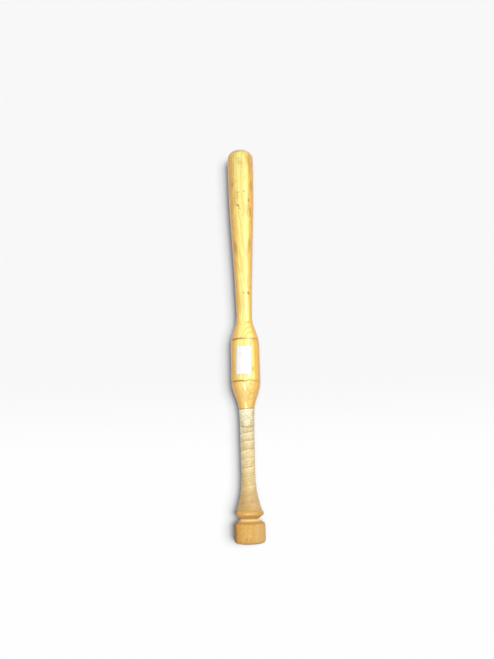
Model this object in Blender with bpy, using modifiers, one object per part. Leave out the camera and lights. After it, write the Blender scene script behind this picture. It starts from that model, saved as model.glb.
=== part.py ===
"""A turned wooden baseball bat with a swell above its taped handle and a heavy block beyond its knob ring.

Metres, +Z up. The bat lies along +Y: the origin is the centre of the flat butt face, on the bat's axis,
and the barrel's rounded end is at the far end. "Along" is always the distance from the butt face.
"""

import math
from collections import namedtuple

import bmesh
import bpy
from mathutils import Matrix, Vector

# Block, groove and ring at the knob end
BLOCK_RADIUS = 0.0316
BLOCK_LENGTH = 0.0378
BUTT_EDGE_ROUND = 0.0072
BLOCK_SHOULDER_ROUND = 0.0060
BLOCK_SHOULDER_LENGTH = 0.0086
GROOVE_RADIUS = 0.0176
GROOVE_ROUND = 0.0016
RING_UNDERCUT_LENGTH = 0.0082
RING_RADIUS = 0.0291
RING_WIDTH = 0.0052
RING_ROUND = 0.0034
RING_TOP_LENGTH = 0.0044
RING_FOOT_RADIUS = 0.0249

# Handle under the tape
FLARE_LENGTH = 0.0785
FLARE_SLOPE = -0.41
HANDLE_RADIUS = 0.0135
GRIP_LENGTH = 0.0900
GRIP_TOP_RADIUS = 0.0143
GRIP_TOP_SLOPE = 0.012
GRIP_RISE_LENGTH = 0.0350
TAPER_FOOT_RADIUS = 0.0162
TAPER_FOOT_SLOPE = 0.115

# Swell between its two scored lines
LOWER_TAPER_LENGTH = 0.0560
SWELL_RADIUS = 0.0308
SWELL_LENGTH = 0.0900
SWELL_FOOT_DROP = 0.0002
SWELL_FOOT_SLOPE = 0.012
SWELL_SHOULDER_LENGTH = 0.0260
SWELL_HEAD_DROP = 0.0012
SWELL_HEAD_SLOPE = -0.14
SCORE_WIDTH = 0.0018
SCORE_DEPTH = 0.0006

# Neck, long taper and barrel
UPPER_TAPER_LENGTH = 0.0520
NECK_RADIUS = 0.01685
NECK_SLOPE = 0.013
LONG_TAPER_LENGTH = 0.3543
BARREL_RADIUS = 0.0293
BARREL_LENGTH = 0.0440
BARREL_END_LENGTH = 0.0205
BARREL_END_SQUARENESS = 2.1

# Grip tape: one strip that winds from under the band down to the ring, each turn lapping the one before
TAPE_WIDTH = 0.0250
TAPE_PITCH = 0.0177
TAPE_THICKNESS = 0.00035
TAPE_START_ANGLE = math.radians(-79)
TAPE_UNDER_BAND = 0.0105
TAPE_TO_RING = 0.0005
TAPE_TIP_WIDTH = 0.0030
LAP_GAP = 0.00054
LAP_MARGIN = 0.0012
LAP_FALL_LENGTH = 0.0030
LAP_RAMP_TURNS = 0.25

# Band that closes the winding under the swell: one wrap whose ends lap underneath
BAND_THICKNESS = 0.00035
BAND_WIDTH = 0.0330
BAND_TOP_TILT = 0.0027
BAND_FOOT_TILT = 0.0035
BAND_SET_BACK = 0.0015
BAND_LAP_TURNS = 0.10
BAND_RAMP_TURNS = 0.07
BAND_STEP_LENGTH = 0.0030

# Paper label on the swell
LABEL_LENGTH = 0.0610
LABEL_WIDTH = 0.0370
LABEL_THICKNESS = 0.00025
LABEL_FROM_SCORE = 0.0152
LABEL_ANGLE = math.radians(96)

# Gap between a skin and what it lies on, and the fineness of the surfaces
SEAT_GAP = 0.0003
BAT_SIDES = 48
TURN_STEPS = 24
EDGE_SPACING = 0.0003
SHARP_EDGE = math.radians(40)
MERGE_DISTANCE = 0.00005

# Most of a side that one rounded corner may take, so that two corners on a short side don't meet
CORNER_SHARE = 0.48

Station = namedtuple("Station", "along radius slope")

GROOVE_ALONG = BLOCK_LENGTH + BLOCK_SHOULDER_LENGTH
RING_LOW_ALONG = GROOVE_ALONG + RING_UNDERCUT_LENGTH
RING_HIGH_ALONG = RING_LOW_ALONG + RING_WIDTH

RING_FOOT = Station(RING_HIGH_ALONG + RING_TOP_LENGTH, RING_FOOT_RADIUS, FLARE_SLOPE)
HANDLE = Station(RING_FOOT.along + FLARE_LENGTH, HANDLE_RADIUS, 0.0)
GRIP_TOP = Station(HANDLE.along + GRIP_LENGTH, GRIP_TOP_RADIUS, GRIP_TOP_SLOPE)
TAPER_FOOT = Station(GRIP_TOP.along + GRIP_RISE_LENGTH, TAPER_FOOT_RADIUS, TAPER_FOOT_SLOPE)
SWELL_FOOT = Station(TAPER_FOOT.along + LOWER_TAPER_LENGTH, SWELL_RADIUS - SWELL_FOOT_DROP, SWELL_FOOT_SLOPE)
SWELL_HEAD = Station(SWELL_FOOT.along + SWELL_LENGTH, SWELL_RADIUS - SWELL_HEAD_DROP, SWELL_HEAD_SLOPE)
SWELL_CROWN = Station(SWELL_HEAD.along - SWELL_SHOULDER_LENGTH, SWELL_RADIUS, 0.0)
NECK_FOOT = Station(SWELL_HEAD.along + UPPER_TAPER_LENGTH, NECK_RADIUS, 0.0)
NECK = NECK_FOOT._replace(slope=NECK_SLOPE)
BARREL_FOOT = Station(NECK.along + LONG_TAPER_LENGTH, BARREL_RADIUS, 0.0)
BARREL_HEAD = Station(BARREL_FOOT.along + BARREL_LENGTH - BARREL_END_LENGTH, BARREL_RADIUS, 0.0)

# Each smooth stretch of the billet runs between two stations, with this many facets along it
STRETCHES = (
    (RING_FOOT, HANDLE, 8),
    (HANDLE, GRIP_TOP, 3),
    (GRIP_TOP, TAPER_FOOT, 4),
    (TAPER_FOOT, SWELL_FOOT, 8),
    (SWELL_FOOT, SWELL_CROWN, 2),
    (SWELL_CROWN, SWELL_HEAD, 4),
    (SWELL_HEAD, NECK_FOOT, 8),
    (NECK, BARREL_FOOT, 12),
    (BARREL_FOOT, BARREL_HEAD, 1),
)

LAP_LIFT = TAPE_THICKNESS + LAP_GAP


def clear_scene():
    for thing in list(bpy.data.objects):
        bpy.data.objects.remove(thing, do_unlink=True)


def material(name, colour, roughness):
    made = bpy.data.materials.new(name)
    made.use_nodes = True
    shader = made.node_tree.nodes["Principled BSDF"]
    shader.inputs["Base Color"].default_value = (*colour, 1.0)
    shader.inputs["Roughness"].default_value = roughness
    shader.inputs["Metallic"].default_value = 0.0
    return made


def add_object(name, mesh, collection, finish):
    thing = bpy.data.objects.new(name, mesh)
    thing.data.materials.append(finish)
    collection.objects.link(thing)
    return thing


def smooth_radius(start, end, along):
    """Radius of the cubic that leaves one station and reaches the next at their slopes."""
    length = end.along - start.along
    share = (along - start.along) / length
    rise = share * share * (3 - 2 * share)
    leaving = share * (1 - share) ** 2
    arriving = share * share * (share - 1)
    return (
        start.radius * (1 - rise)
        + end.radius * rise
        + length * (start.slope * leaving + end.slope * arriving)
    )


def wood_radius(along):
    """Radius of the billet anywhere from the ring's foot to the barrel's end rounding."""
    for start, end, _ in STRETCHES:
        if along <= end.along:
            return smooth_radius(start, end, max(along, start.along))
    return BARREL_HEAD.radius


def rounded_corner(before, corner, after, fillet, steps):
    """Points of the arc that rounds one corner of the outline, no longer than its sides allow."""
    to_before = before - corner
    to_after = after - corner
    half_angle = to_before.angle(to_after) / 2
    longest = CORNER_SHARE * min(to_before.length, to_after.length)
    reach = min(fillet / math.tan(half_angle), longest)
    bisector = (to_before.normalized() + to_after.normalized()).normalized()
    centre = corner + bisector * reach / math.cos(half_angle)
    spoke = corner + to_before.normalized() * reach - centre
    sweep = spoke.angle_signed(corner + to_after.normalized() * reach - centre)
    # angle_signed counts clockwise turns as positive
    return [centre + Matrix.Rotation(-sweep * step / steps, 2) @ spoke for step in range(steps + 1)]


def knob_end_outline():
    """(radius, along) points from the centre of the butt face to the ring's foot."""
    corners = (
        (Vector((BLOCK_RADIUS, 0.0)), BUTT_EDGE_ROUND, 4),
        (Vector((BLOCK_RADIUS, BLOCK_LENGTH)), BLOCK_SHOULDER_ROUND, 4),
        (Vector((GROOVE_RADIUS, GROOVE_ALONG)), GROOVE_ROUND, 3),
        (Vector((RING_RADIUS, RING_LOW_ALONG)), RING_ROUND, 4),
        (Vector((RING_RADIUS, RING_HIGH_ALONG)), RING_ROUND, 3),
    )
    first = Vector((0.0, 0.0))
    last = Vector((RING_FOOT.radius, RING_FOOT.along))
    sharp = [first] + [corner for corner, _, _ in corners] + [last]
    points = [first]
    for index, (corner, fillet, steps) in enumerate(corners):
        points += rounded_corner(sharp[index], corner, sharp[index + 2], fillet, steps)
    return points + [last]


def smooth_outline():
    """(radius, along) points from the ring's foot to where the barrel's end starts to round."""
    points = []
    for start, end, facets in STRETCHES:
        scored_start = start in (SWELL_FOOT, SWELL_HEAD)
        scored_end = end in (SWELL_FOOT, SWELL_HEAD)
        low = start.along + (SCORE_WIDTH / 2 if scored_start else 0.0)
        high = end.along - (SCORE_WIDTH / 2 if scored_end else 0.0)
        if scored_start:
            points.append(Vector((smooth_radius(start, end, low), low)))
        for facet in range(1, facets + 1):
            along = low + (high - low) * facet / facets
            points.append(Vector((smooth_radius(start, end, along), along)))
        if scored_end:
            points.append(Vector((end.radius - SCORE_DEPTH, end.along)))
    return points


def barrel_end_outline(steps=8):
    """(radius, along) points of the domed end: a superellipse from the barrel's wall to its axis."""
    points = []
    for step in range(1, steps + 1):
        angle = math.pi / 2 * step / steps
        radius = BARREL_HEAD.radius * math.cos(angle) ** (2 / BARREL_END_SQUARENESS)
        rise = BARREL_END_LENGTH * math.sin(angle) ** (2 / BARREL_END_SQUARENESS)
        points.append(Vector((radius if step < steps else 0.0, BARREL_HEAD.along + rise)))
    return points


def make_bat(collection, finish):
    """The billet: its outline, run down from the barrel's end to the butt, turned about the bat's axis."""
    outline = knob_end_outline() + smooth_outline() + barrel_end_outline()
    outline.reverse()
    mesh = bpy.data.meshes.new("turned_bat")
    points = [(radius, 0.0, along) for radius, along in outline]
    mesh.from_pydata(points, [(index, index + 1) for index in range(len(points) - 1)], [])
    bat = add_object("turned_bat", mesh, collection, finish)
    # Local Z lies along the bat, and half a side's turn puts a flat between two edges underneath
    half_side = math.pi / BAT_SIDES
    bat.matrix_world = Matrix.Rotation(-math.pi / 2, 4, "X") @ Matrix.Rotation(half_side, 4, "Z")
    turn = bat.modifiers.new("turn", "SCREW")
    turn.steps = BAT_SIDES
    turn.render_steps = BAT_SIDES
    turn.use_merge_vertices = True
    turn.merge_threshold = MERGE_DISTANCE
    turn.use_smooth_shade = True
    return bat


def on_bat(angle, along, radius):
    """A point at this angle round the bat, from +X towards +Z."""
    return (radius * math.cos(angle), along, radius * math.sin(angle))


def sheet_object(name, rows, thickness, collection, finish):
    """A thin skin: the grid of points on its inner face, thickened outwards."""
    mesh = bpy.data.meshes.new(name)
    shape = bmesh.new()
    grid = [[shape.verts.new(point) for point in row] for row in rows]
    for row, next_row in zip(grid, grid[1:]):
        for column in range(len(row) - 1):
            shape.faces.new((row[column], next_row[column], next_row[column + 1], row[column + 1]))
    shape.to_mesh(mesh)
    shape.free()
    mesh.shade_smooth()
    mesh.set_sharp_from_angle(angle=SHARP_EDGE)
    sheet = add_object(name, mesh, collection, finish)
    skin = sheet.modifiers.new("thickness", "SOLIDIFY")
    skin.thickness = thickness
    skin.offset = 1.0
    skin.use_even_offset = True
    return sheet


# A round skin's facets cut inside its circle, so its points stand off by this much more
FACET_ALLOWANCE = 1 / math.cos(math.pi / TURN_STEPS)


def band_top_edge(angle):
    return TAPER_FOOT.along - BAND_SET_BACK + BAND_TOP_TILT * math.cos(angle)


def band_foot_edge(angle):
    return TAPER_FOOT.along - BAND_SET_BACK - BAND_WIDTH - BAND_FOOT_TILT * math.sin(angle)


TAPE_START = TAPER_FOOT.along - BAND_SET_BACK - BAND_WIDTH + TAPE_UNDER_BAND
TAPE_END = RING_FOOT.along + TAPE_TO_RING


def tape_lift(across):
    """How far the tape stands off the wood: high over the turn before, then down onto the wood."""
    high_until = TAPE_WIDTH - TAPE_PITCH + LAP_MARGIN
    fallen = (across - high_until) / LAP_FALL_LENGTH
    return LAP_LIFT * (1 - min(max(fallen, 0.0), 1.0))


def tape_row(turns):
    """Points across the tape's inner face after this many turns, from its lapping edge to its knob edge."""
    angle = TAPE_START_ANGLE + 2 * math.pi * turns
    top_edge = TAPE_START - TAPE_PITCH * turns
    left = min(TAPE_WIDTH, top_edge - TAPE_END)
    # The first turn laps nothing, so it lies on the wood until it comes back to where it began
    climb = min(max((turns - 1 + LAP_RAMP_TURNS) / LAP_RAMP_TURNS, 0.0), 1.0)
    high_until = TAPE_WIDTH - TAPE_PITCH + LAP_MARGIN
    low_from = high_until + LAP_FALL_LENGTH
    places = (0.0, high_until / 2, high_until, low_from, (low_from + TAPE_WIDTH) / 2, TAPE_WIDTH)
    points = []
    for index, place in enumerate(places):
        across = min(place, left - EDGE_SPACING * (len(places) - 1 - index))
        along = top_edge - across
        lift = tape_lift(across) * climb
        radius = (wood_radius(along) + SEAT_GAP) * FACET_ALLOWANCE + lift
        points.append(on_bat(angle, along, radius))
    return points


def make_grip_tape(collection, finish):
    turns = (TAPE_START - TAPE_END - TAPE_TIP_WIDTH) / TAPE_PITCH
    steps = int(turns * TURN_STEPS)
    rows = [tape_row(step / TURN_STEPS) for step in range(steps + 1)]
    tape = sheet_object("grip_tape", rows, TAPE_THICKNESS, collection, finish)
    print(f"grip tape: {turns:.1f} turns, least gap between turns {1000 * least_lap_gap(tape, rows):.2f} mm")
    return tape


def least_lap_gap(tape, rows):
    """Smallest distance from a turn's inner face to the outer face of the turn that it laps."""
    bpy.context.view_layer.update()
    evaluated = tape.evaluated_get(bpy.context.evaluated_depsgraph_get())
    # Solidify moves the sheet's own points to its outer face and adds the inner ones after them
    outer = [vertex.co.copy() for vertex in evaluated.data.vertices]
    width = len(rows[0])
    least = math.inf
    for index in range(TURN_STEPS, len(rows)):
        first = (index - TURN_STEPS) * width
        turn_before = outer[first:first + width]
        for point in rows[index]:
            for start, end in zip(turn_before, turn_before[1:]):
                side = end - start
                share = min(max((Vector(point) - start).dot(side) / side.length_squared, 0.0), 1.0)
                least = min(least, (Vector(point) - start - side * share).length)
    return least


def band_row(turns):
    """Points across the band's inner face, from its top edge on the wood to its foot over the tape."""
    angle = -math.pi / 2 + 2 * math.pi * (turns - BAND_LAP_TURNS / 2)
    top = band_top_edge(angle)
    foot = band_foot_edge(angle)
    over_tape = TAPE_THICKNESS + SEAT_GAP
    step_low = TAPE_START + SEAT_GAP
    step_high = step_low + BAND_STEP_LENGTH
    lap = min(max((turns - 1 + BAND_RAMP_TURNS) / BAND_RAMP_TURNS, 0.0), 1.0)
    lift = (BAND_THICKNESS + LAP_GAP) * lap
    places = (top, (top + step_high) / 2, step_high, step_low, (step_low + foot) / 2, foot)
    points = []
    for along in places:
        stand_off = over_tape if along <= step_low else 0.0
        radius = (wood_radius(along) + SEAT_GAP) * FACET_ALLOWANCE + stand_off + lift
        points.append(on_bat(angle, along, radius))
    return points


def make_band(collection, finish):
    steps = round((1 + BAND_LAP_TURNS) * TURN_STEPS)
    rows = [band_row(step / TURN_STEPS) for step in range(steps + 1)]
    return sheet_object("tape_top_band", rows, BAND_THICKNESS, collection, finish)


def make_label(collection, finish, columns=10, lengths=4):
    """A paper rectangle bent round the swell, with plain square corners."""
    radius = SWELL_RADIUS + SEAT_GAP
    sweep = LABEL_WIDTH / radius
    low = SWELL_FOOT.along + LABEL_FROM_SCORE
    rows = []
    for column in range(columns + 1):
        angle = LABEL_ANGLE + sweep * (column / columns - 0.5)
        rows.append(
            [on_bat(angle, low + LABEL_LENGTH * (1 - step / lengths), radius) for step in range(lengths + 1)]
        )
    return sheet_object("paper_label", rows, LABEL_THICKNESS, collection, finish)


def main():
    clear_scene()
    collection = bpy.data.collections.new("wooden_baseball_bat")
    bpy.context.scene.collection.children.link(collection)
    make_bat(collection, material("varnished_ash", (0.72, 0.44, 0.16), 0.28))
    make_grip_tape(collection, material("cloth_tape", (0.76, 0.62, 0.38), 0.85))
    make_band(collection, material("cloth_tape_band", (0.84, 0.74, 0.50), 0.85))
    make_label(collection, material("white_paper", (0.90, 0.90, 0.88), 0.60))
    bpy.context.view_layer.update()


main()
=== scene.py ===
"""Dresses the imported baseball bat: its turned billet, wound grip tape, closing band and paper sticker.

Metres, +Z up. The bat lies along +Y, from the centre of its butt face. "Along" is the distance from that
face, and an angle runs round the bat from +X towards +Z, so that 90 degrees faces the camera.
"""

import math
from collections import namedtuple
from functools import partial

import bmesh
import bpy
import numpy
from bpy.props import FloatProperty, FloatVectorProperty, IntProperty, PointerProperty
from mathutils import Matrix, Vector


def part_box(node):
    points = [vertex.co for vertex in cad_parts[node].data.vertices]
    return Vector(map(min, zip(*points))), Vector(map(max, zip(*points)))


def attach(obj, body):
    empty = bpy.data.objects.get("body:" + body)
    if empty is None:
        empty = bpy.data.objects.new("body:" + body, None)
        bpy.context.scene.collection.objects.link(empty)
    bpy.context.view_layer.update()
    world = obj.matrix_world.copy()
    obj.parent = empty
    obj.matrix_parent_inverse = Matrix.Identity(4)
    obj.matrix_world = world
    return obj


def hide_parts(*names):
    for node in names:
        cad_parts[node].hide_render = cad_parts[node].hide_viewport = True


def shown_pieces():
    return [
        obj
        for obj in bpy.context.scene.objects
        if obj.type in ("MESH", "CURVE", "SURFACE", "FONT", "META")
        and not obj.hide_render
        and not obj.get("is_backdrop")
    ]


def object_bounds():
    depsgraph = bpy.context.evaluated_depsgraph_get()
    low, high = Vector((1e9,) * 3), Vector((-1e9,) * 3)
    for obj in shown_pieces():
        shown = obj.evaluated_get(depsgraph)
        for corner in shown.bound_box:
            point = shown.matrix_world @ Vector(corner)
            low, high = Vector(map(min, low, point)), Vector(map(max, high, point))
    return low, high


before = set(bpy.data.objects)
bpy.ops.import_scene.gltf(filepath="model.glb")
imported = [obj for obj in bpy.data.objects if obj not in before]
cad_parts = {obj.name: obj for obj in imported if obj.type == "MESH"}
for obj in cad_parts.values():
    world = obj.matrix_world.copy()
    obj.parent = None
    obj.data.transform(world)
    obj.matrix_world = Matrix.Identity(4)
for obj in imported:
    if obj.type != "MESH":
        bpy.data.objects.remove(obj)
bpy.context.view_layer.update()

bl_info = {
    "name": "Wooden baseball bat",
    "version": (1, 0, 0),
    "blender": (4, 5, 0),
    "location": "3D View > Sidebar > Bat",
    "description": "Turns the billet, winds its grip tape, sticks its label and lights it",
    "category": "Object",
}

TAPE_LOW, TAPE_HIGH = (corner.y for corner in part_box("grip_tape"))
BAND_LOW, BAND_HIGH = (corner.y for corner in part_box("tape_top_band"))
LABEL_LOW, LABEL_HIGH = (corner.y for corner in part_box("paper_label"))

# Where the two lines are scored round the swell, and where the knob's ring, groove and block turn
LOWER_SCORE = 0.3237
UPPER_SCORE = 0.4137
BLOCK_END = 0.0640
GROOVE_FLOOR = 0.0450
BLOCK_SHOULDER = 0.0392

# The band's top leans a little to one side, less than the CAD band's, and its foot sags at the front
CAD_TOP_TILT = 0.0027
BAND_TOP = BAND_HIGH - CAD_TOP_TILT
BAND_TOP_TILT = 0.0010
BAND_FOOT_TILT = 0.0035
TAPE_START_ANGLE = math.radians(-79)

SMOOTH = {"interpolation_type": "SMOOTHSTEP"}
# Faces that meet at more than this are shaded as an edge
CREASE_ANGLE = math.radians(40)

Mark = namedtuple("Mark", "along angle length width tilt strength tone")
Dent = namedtuple("Dent", "along angle reach depth")


def linear(colour):
    """Linear red, green, blue and alpha of an sRGB colour written RRGGBB."""
    shares = [int(colour[start:start + 2], 16) / 255 for start in (0, 2, 4)]
    return (*(s / 12.92 if s <= 0.04045 else ((s + 0.055) / 1.055) ** 2.4 for s in shares), 1.0)


def fill(node, values):
    """Fills inputs, by name or by number among those in use, each with a value or a link from a socket."""
    shown = [socket for socket in node.inputs if socket.enabled]
    for key, value in values.items():
        socket = node.inputs[key] if isinstance(key, str) else shown[key]
        if isinstance(value, bpy.types.NodeSocket):
            node.id_data.links.new(value, socket)
        elif value is not None:
            socket.default_value = value


def add(tree, kind, *values, inputs=None, output=0, **settings):
    """Adds a node with its settings and its inputs, in order or by name, and gives the output asked for.

    A kind that doesn't say Node is a shader node. An operation may follow the kind, as in Math.SINE. With
    None as the output, the node itself is given.
    """
    kind, _, operation = kind.partition(".")
    node = tree.nodes.new(kind if "Node" in kind else "ShaderNode" + kind)
    if operation:
        node.operation = operation
    for name, value in settings.items():
        setattr(node, name, value)
    fill(node, {**dict(enumerate(values)), **(inputs or {})})
    if output is None:
        return node
    if isinstance(output, str):
        return node.outputs[output]
    return [socket for socket in node.outputs if socket.enabled][output]


def new_material(name, ior):
    """An empty procedural material, with what adds nodes to it and with its shader."""
    material = bpy.data.materials.new(name)
    material.use_nodes = True
    shader = material.node_tree.nodes["Principled BSDF"]
    fill(shader, {"IOR": ior})
    return material, partial(add, material.node_tree), shader


def new_shape_tree(name, sizes):
    """A Geometry Nodes tree with these named inputs, with what adds nodes to it and its inputs' sockets."""
    tree = bpy.data.node_groups.new(name, "GeometryNodeTree")
    tree.interface.new_socket("Geometry", in_out="OUTPUT", socket_type="NodeSocketGeometry")
    for label, kind in sizes.items():
        tree.interface.new_socket(label, in_out="INPUT", socket_type="NodeSocket" + kind)
    entry = tree.nodes.new("NodeGroupInput")
    return tree, partial(add, tree), {label: entry.outputs[label] for label in sizes}


def close_shape_tree(node, shape, finish):
    """Ends a tree: its shape smooth, with no copies left in it, and in its finish."""
    shape = node("GeometryNodeSetShadeSmooth", shape)
    shape = node("GeometryNodeRealizeInstances", shape)
    shape = node("GeometryNodeSetMaterial", shape, None, finish)
    node("NodeGroupOutput", shape, output=None)


def patches(node, place, cells, detail, roughness, low, high, least=0.0, most=1.0):
    """Soft patches, so many cells to the metre each way: noise below low gives least, above high most."""
    cloud = node("TexNoise", node("Mapping", place, None, None, cells), 1.0, detail, roughness)
    return node("MapRange", cloud, low, high, least, most, **SMOOTH)


def gap(node, along, edge):
    """How far from the edge, whichever way."""
    return node("Math.ABSOLUTE", node("Math.SUBTRACT", along, edge))


def painted(node, colour, layers):
    """The colour with each tone laid over it in turn, as thickly as its share says."""
    for share, tone in layers:
        tone = linear(tone) if isinstance(tone, str) else tone
        colour = node("Mix", share, colour, tone, data_type="RGBA")
    return colour


def tint(name, what, colour):
    return FloatVectorProperty(name=name, description=what, default=linear(colour), size=4, subtype="COLOR")


def distance(name, what, metres):
    return FloatProperty(name=name, description=what, default=metres, subtype="DISTANCE", unit="LENGTH")


def bearing(name, what, degrees):
    turn = math.radians(degrees)
    return FloatProperty(name=name, description=what, default=turn, subtype="ANGLE", unit="ROTATION")


def amount(name, what, usual):
    return FloatProperty(name=name, description=what, default=usual, min=0.0)


def power(name, what, watts):
    return FloatProperty(name=name, description=what, default=watts, min=0.0, subtype="POWER", unit="POWER")


def link_object(name, mesh):
    thing = bpy.data.objects.new(name, mesh)
    bpy.context.scene.collection.objects.link(thing)
    return thing


def shaped_piece(name, tree, sizes, thickness=0.0):
    """A piece whose plain mesh is what the tree makes of these sizes, thickened outwards if asked."""
    piece = link_object(name, bpy.data.meshes.new(name))
    shaping = piece.modifiers.new("shape", "NODES")
    shaping.node_group = tree
    for item in tree.interface.items_tree:
        if item.in_out == "INPUT":
            shaping[item.identifier] = sizes[item.name]
    if thickness:
        thicken(piece, thickness)
    graph = bpy.context.evaluated_depsgraph_get()
    mesh = bpy.data.meshes.new_from_object(
        piece.evaluated_get(graph), preserve_all_data_layers=True, depsgraph=graph
    )
    piece.modifiers.clear()
    piece.data = mesh
    mesh.name = name
    return piece


def thicken(piece, thickness):
    skin = piece.modifiers.new("thickness", "SOLIDIFY")
    skin.thickness = thickness
    skin.offset = 1.0
    skin.use_even_offset = True


def ride_for(piece, node):
    """The piece moves with the bat and stands for the CAD node, which is hidden."""
    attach(piece, "root")
    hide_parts(node)


SAME_SPOT = 0.00003
OUTLINE_STEP = 0.0016
LEAST_STEPS = 3
# An extra ring on the butt face, at this share of its radius, keeps its edge crisp
FLAT_OF_BUTT = 0.9


def cad_outline():
    """(along, radius) of each ring of the CAD billet, with the centre of its butt face first."""
    spots = sorted(
        (round(vertex.co.y, 5), math.hypot(vertex.co.x, vertex.co.z))
        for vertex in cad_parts["turned_bat"].data.vertices
    )
    outline = []
    for spot in map(Vector, spots):
        if not outline or (spot - outline[-1]).length > SAME_SPOT:
            outline.append(spot)
    butt = outline[0]
    return [Vector((butt.x, 0.0)), Vector((butt.x, butt.y * FLAT_OF_BUTT)), *outline]


def curve_spot(spots, share):
    """A point of the centripetal curve between the middle two of four points."""
    times = [0.0]
    for before, after in zip(spots, spots[1:]):
        times.append(times[-1] + math.sqrt((after - before).length))
    now = times[1] + (times[2] - times[1]) * share
    for level in (1, 2, 3):
        if level == 3:
            return spots[0].lerp(spots[1], (now - times[1]) / (times[2] - times[1]))
        spots = [
            before.lerp(after, (now - times[index]) / (times[index + level] - times[index]))
            for index, (before, after) in enumerate(zip(spots, spots[1:]))
        ]


def smooth_outline():
    """The CAD outline with its facets rounded out: the lathe leaves curves between the same points."""
    outline = cad_outline()
    mirrored = [Vector((spot.x, -spot.y)) for spot in (outline[1], outline[-2])]
    spots = [mirrored[0], *outline, mirrored[1]]
    fine = [outline[0]]
    for index in range(1, len(spots) - 2):
        length = (spots[index + 1] - spots[index]).length
        steps = max(LEAST_STEPS, math.ceil(length / OUTLINE_STEP))
        fine += [curve_spot(spots[index - 1:index + 3], step / steps) for step in range(1, steps + 1)]
    return fine


OUTLINE = smooth_outline()


def surface_spot(along, angle):
    """The point of the billet's surface at this distance from the butt and this angle in degrees."""
    radius = numpy.interp(along, [spot.x for spot in OUTLINE], [spot.y for spot in OUTLINE])
    turn = math.radians(angle)
    return Vector((radius * math.cos(turn), along, radius * math.sin(turn)))


# Knocks that play and handling left: two on the block, the curved one on the barrel, and small nicks
DENTS = tuple(Dent(*row) for row in (
    (0.009, 102, 0.003, 0.0006),
    (0.008, 83.5, 0.0026, 0.0005),
    (0.7195, 111.5, 0.0024, 0.0004),
    (0.7165, 104, 0.0024, 0.0004),
    (0.7112, 96.5, 0.0026, 0.0004),
    (0.5175, 56, 0.0028, 0.0003),
    (0.4515, 65, 0.0024, 0.0003),
    (0.021, 40, 0.004, 0.0004),
    (0.026, 150, 0.0045, 0.0004),
    (0.015, 250, 0.004, 0.0005),
    (0.78, 220, 0.0045, 0.0004),
    (0.69, 300, 0.005, 0.0004),
))

# Points closer than this are one: along the seam, and at the middle of the butt and of the tip
SEAM_GAP = 0.00001


def billet_tree():
    """Turns the outline about the bat's axis, a little untrue as hand turning is, with its dents."""
    tree, node, size = new_shape_tree(
        "turned billet",
        {"Outline": "Object", "Sides": "Int", "Untrue": "Float", "Seed": "Float", "Finish": "Material"},
    )
    outline = node("GeometryNodeObjectInfo", size["Outline"], output="Geometry")
    count = node("GeometryNodeAttributeDomainSize", outline, output="Point Count")
    sides = node("Math", size["Sides"], 1.0)
    grid = node("GeometryNodeMeshGrid", 1.0, 1.0, count, sides)
    here = node("GeometryNodeInputPosition")
    flat = node("SeparateXYZ", here, output=None)
    last = node("Math.SUBTRACT", count, 1.0)
    row = node("Math.MULTIPLY", node("Math", flat.outputs[0], 0.5), last)
    row = node("Math.ROUND", row)
    spot = node("GeometryNodeSampleIndex", outline, here, row, data_type="FLOAT_VECTOR")
    along, radius, _ = node("SeparateXYZ", spot, output=None).outputs
    turn = node("Math.MULTIPLY_ADD", flat.outputs[1], math.tau, math.pi)
    cosine = node("Math.COSINE", turn)
    sine = node("Math.SINE", turn)
    out_x = node("Math.MULTIPLY", radius, cosine)
    out_z = node("Math.MULTIPLY", radius, sine)
    place = node("CombineXYZ", out_x, along, out_z)
    # A wave every 30 mm or so, as a share of the radius, so that both poles stay on the axis
    wave = node("TexNoise", place, size["Seed"], 34.0, 1.0, 0.5, noise_dimensions="4D", normalize=False)
    swell = node("Math.MULTIPLY", wave, size["Untrue"])
    outward = node("CombineXYZ", out_x, 0.0, out_z)
    outward = node("VectorMath.SCALE", outward, swell)
    place = node("VectorMath", place, outward)
    inward = node("CombineXYZ", cosine, 0.0, sine)
    for dent in DENTS:
        centre = surface_spot(dent.along, dent.angle)
        away = node("VectorMath.DISTANCE", place, centre)
        sunk = node("MapRange", away, 0.0, dent.reach, -dent.depth, 0.0, **SMOOTH)
        hollow = node("VectorMath.SCALE", inward, sunk)
        place = node("VectorMath", place, hollow)
    turned = node("GeometryNodeSetPosition", grid, None, place)
    turned = node("GeometryNodeMergeByDistance", turned, inputs={"Distance": SEAM_GAP})
    close_shape_tree(node, turned, size["Finish"])
    return tree
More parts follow.
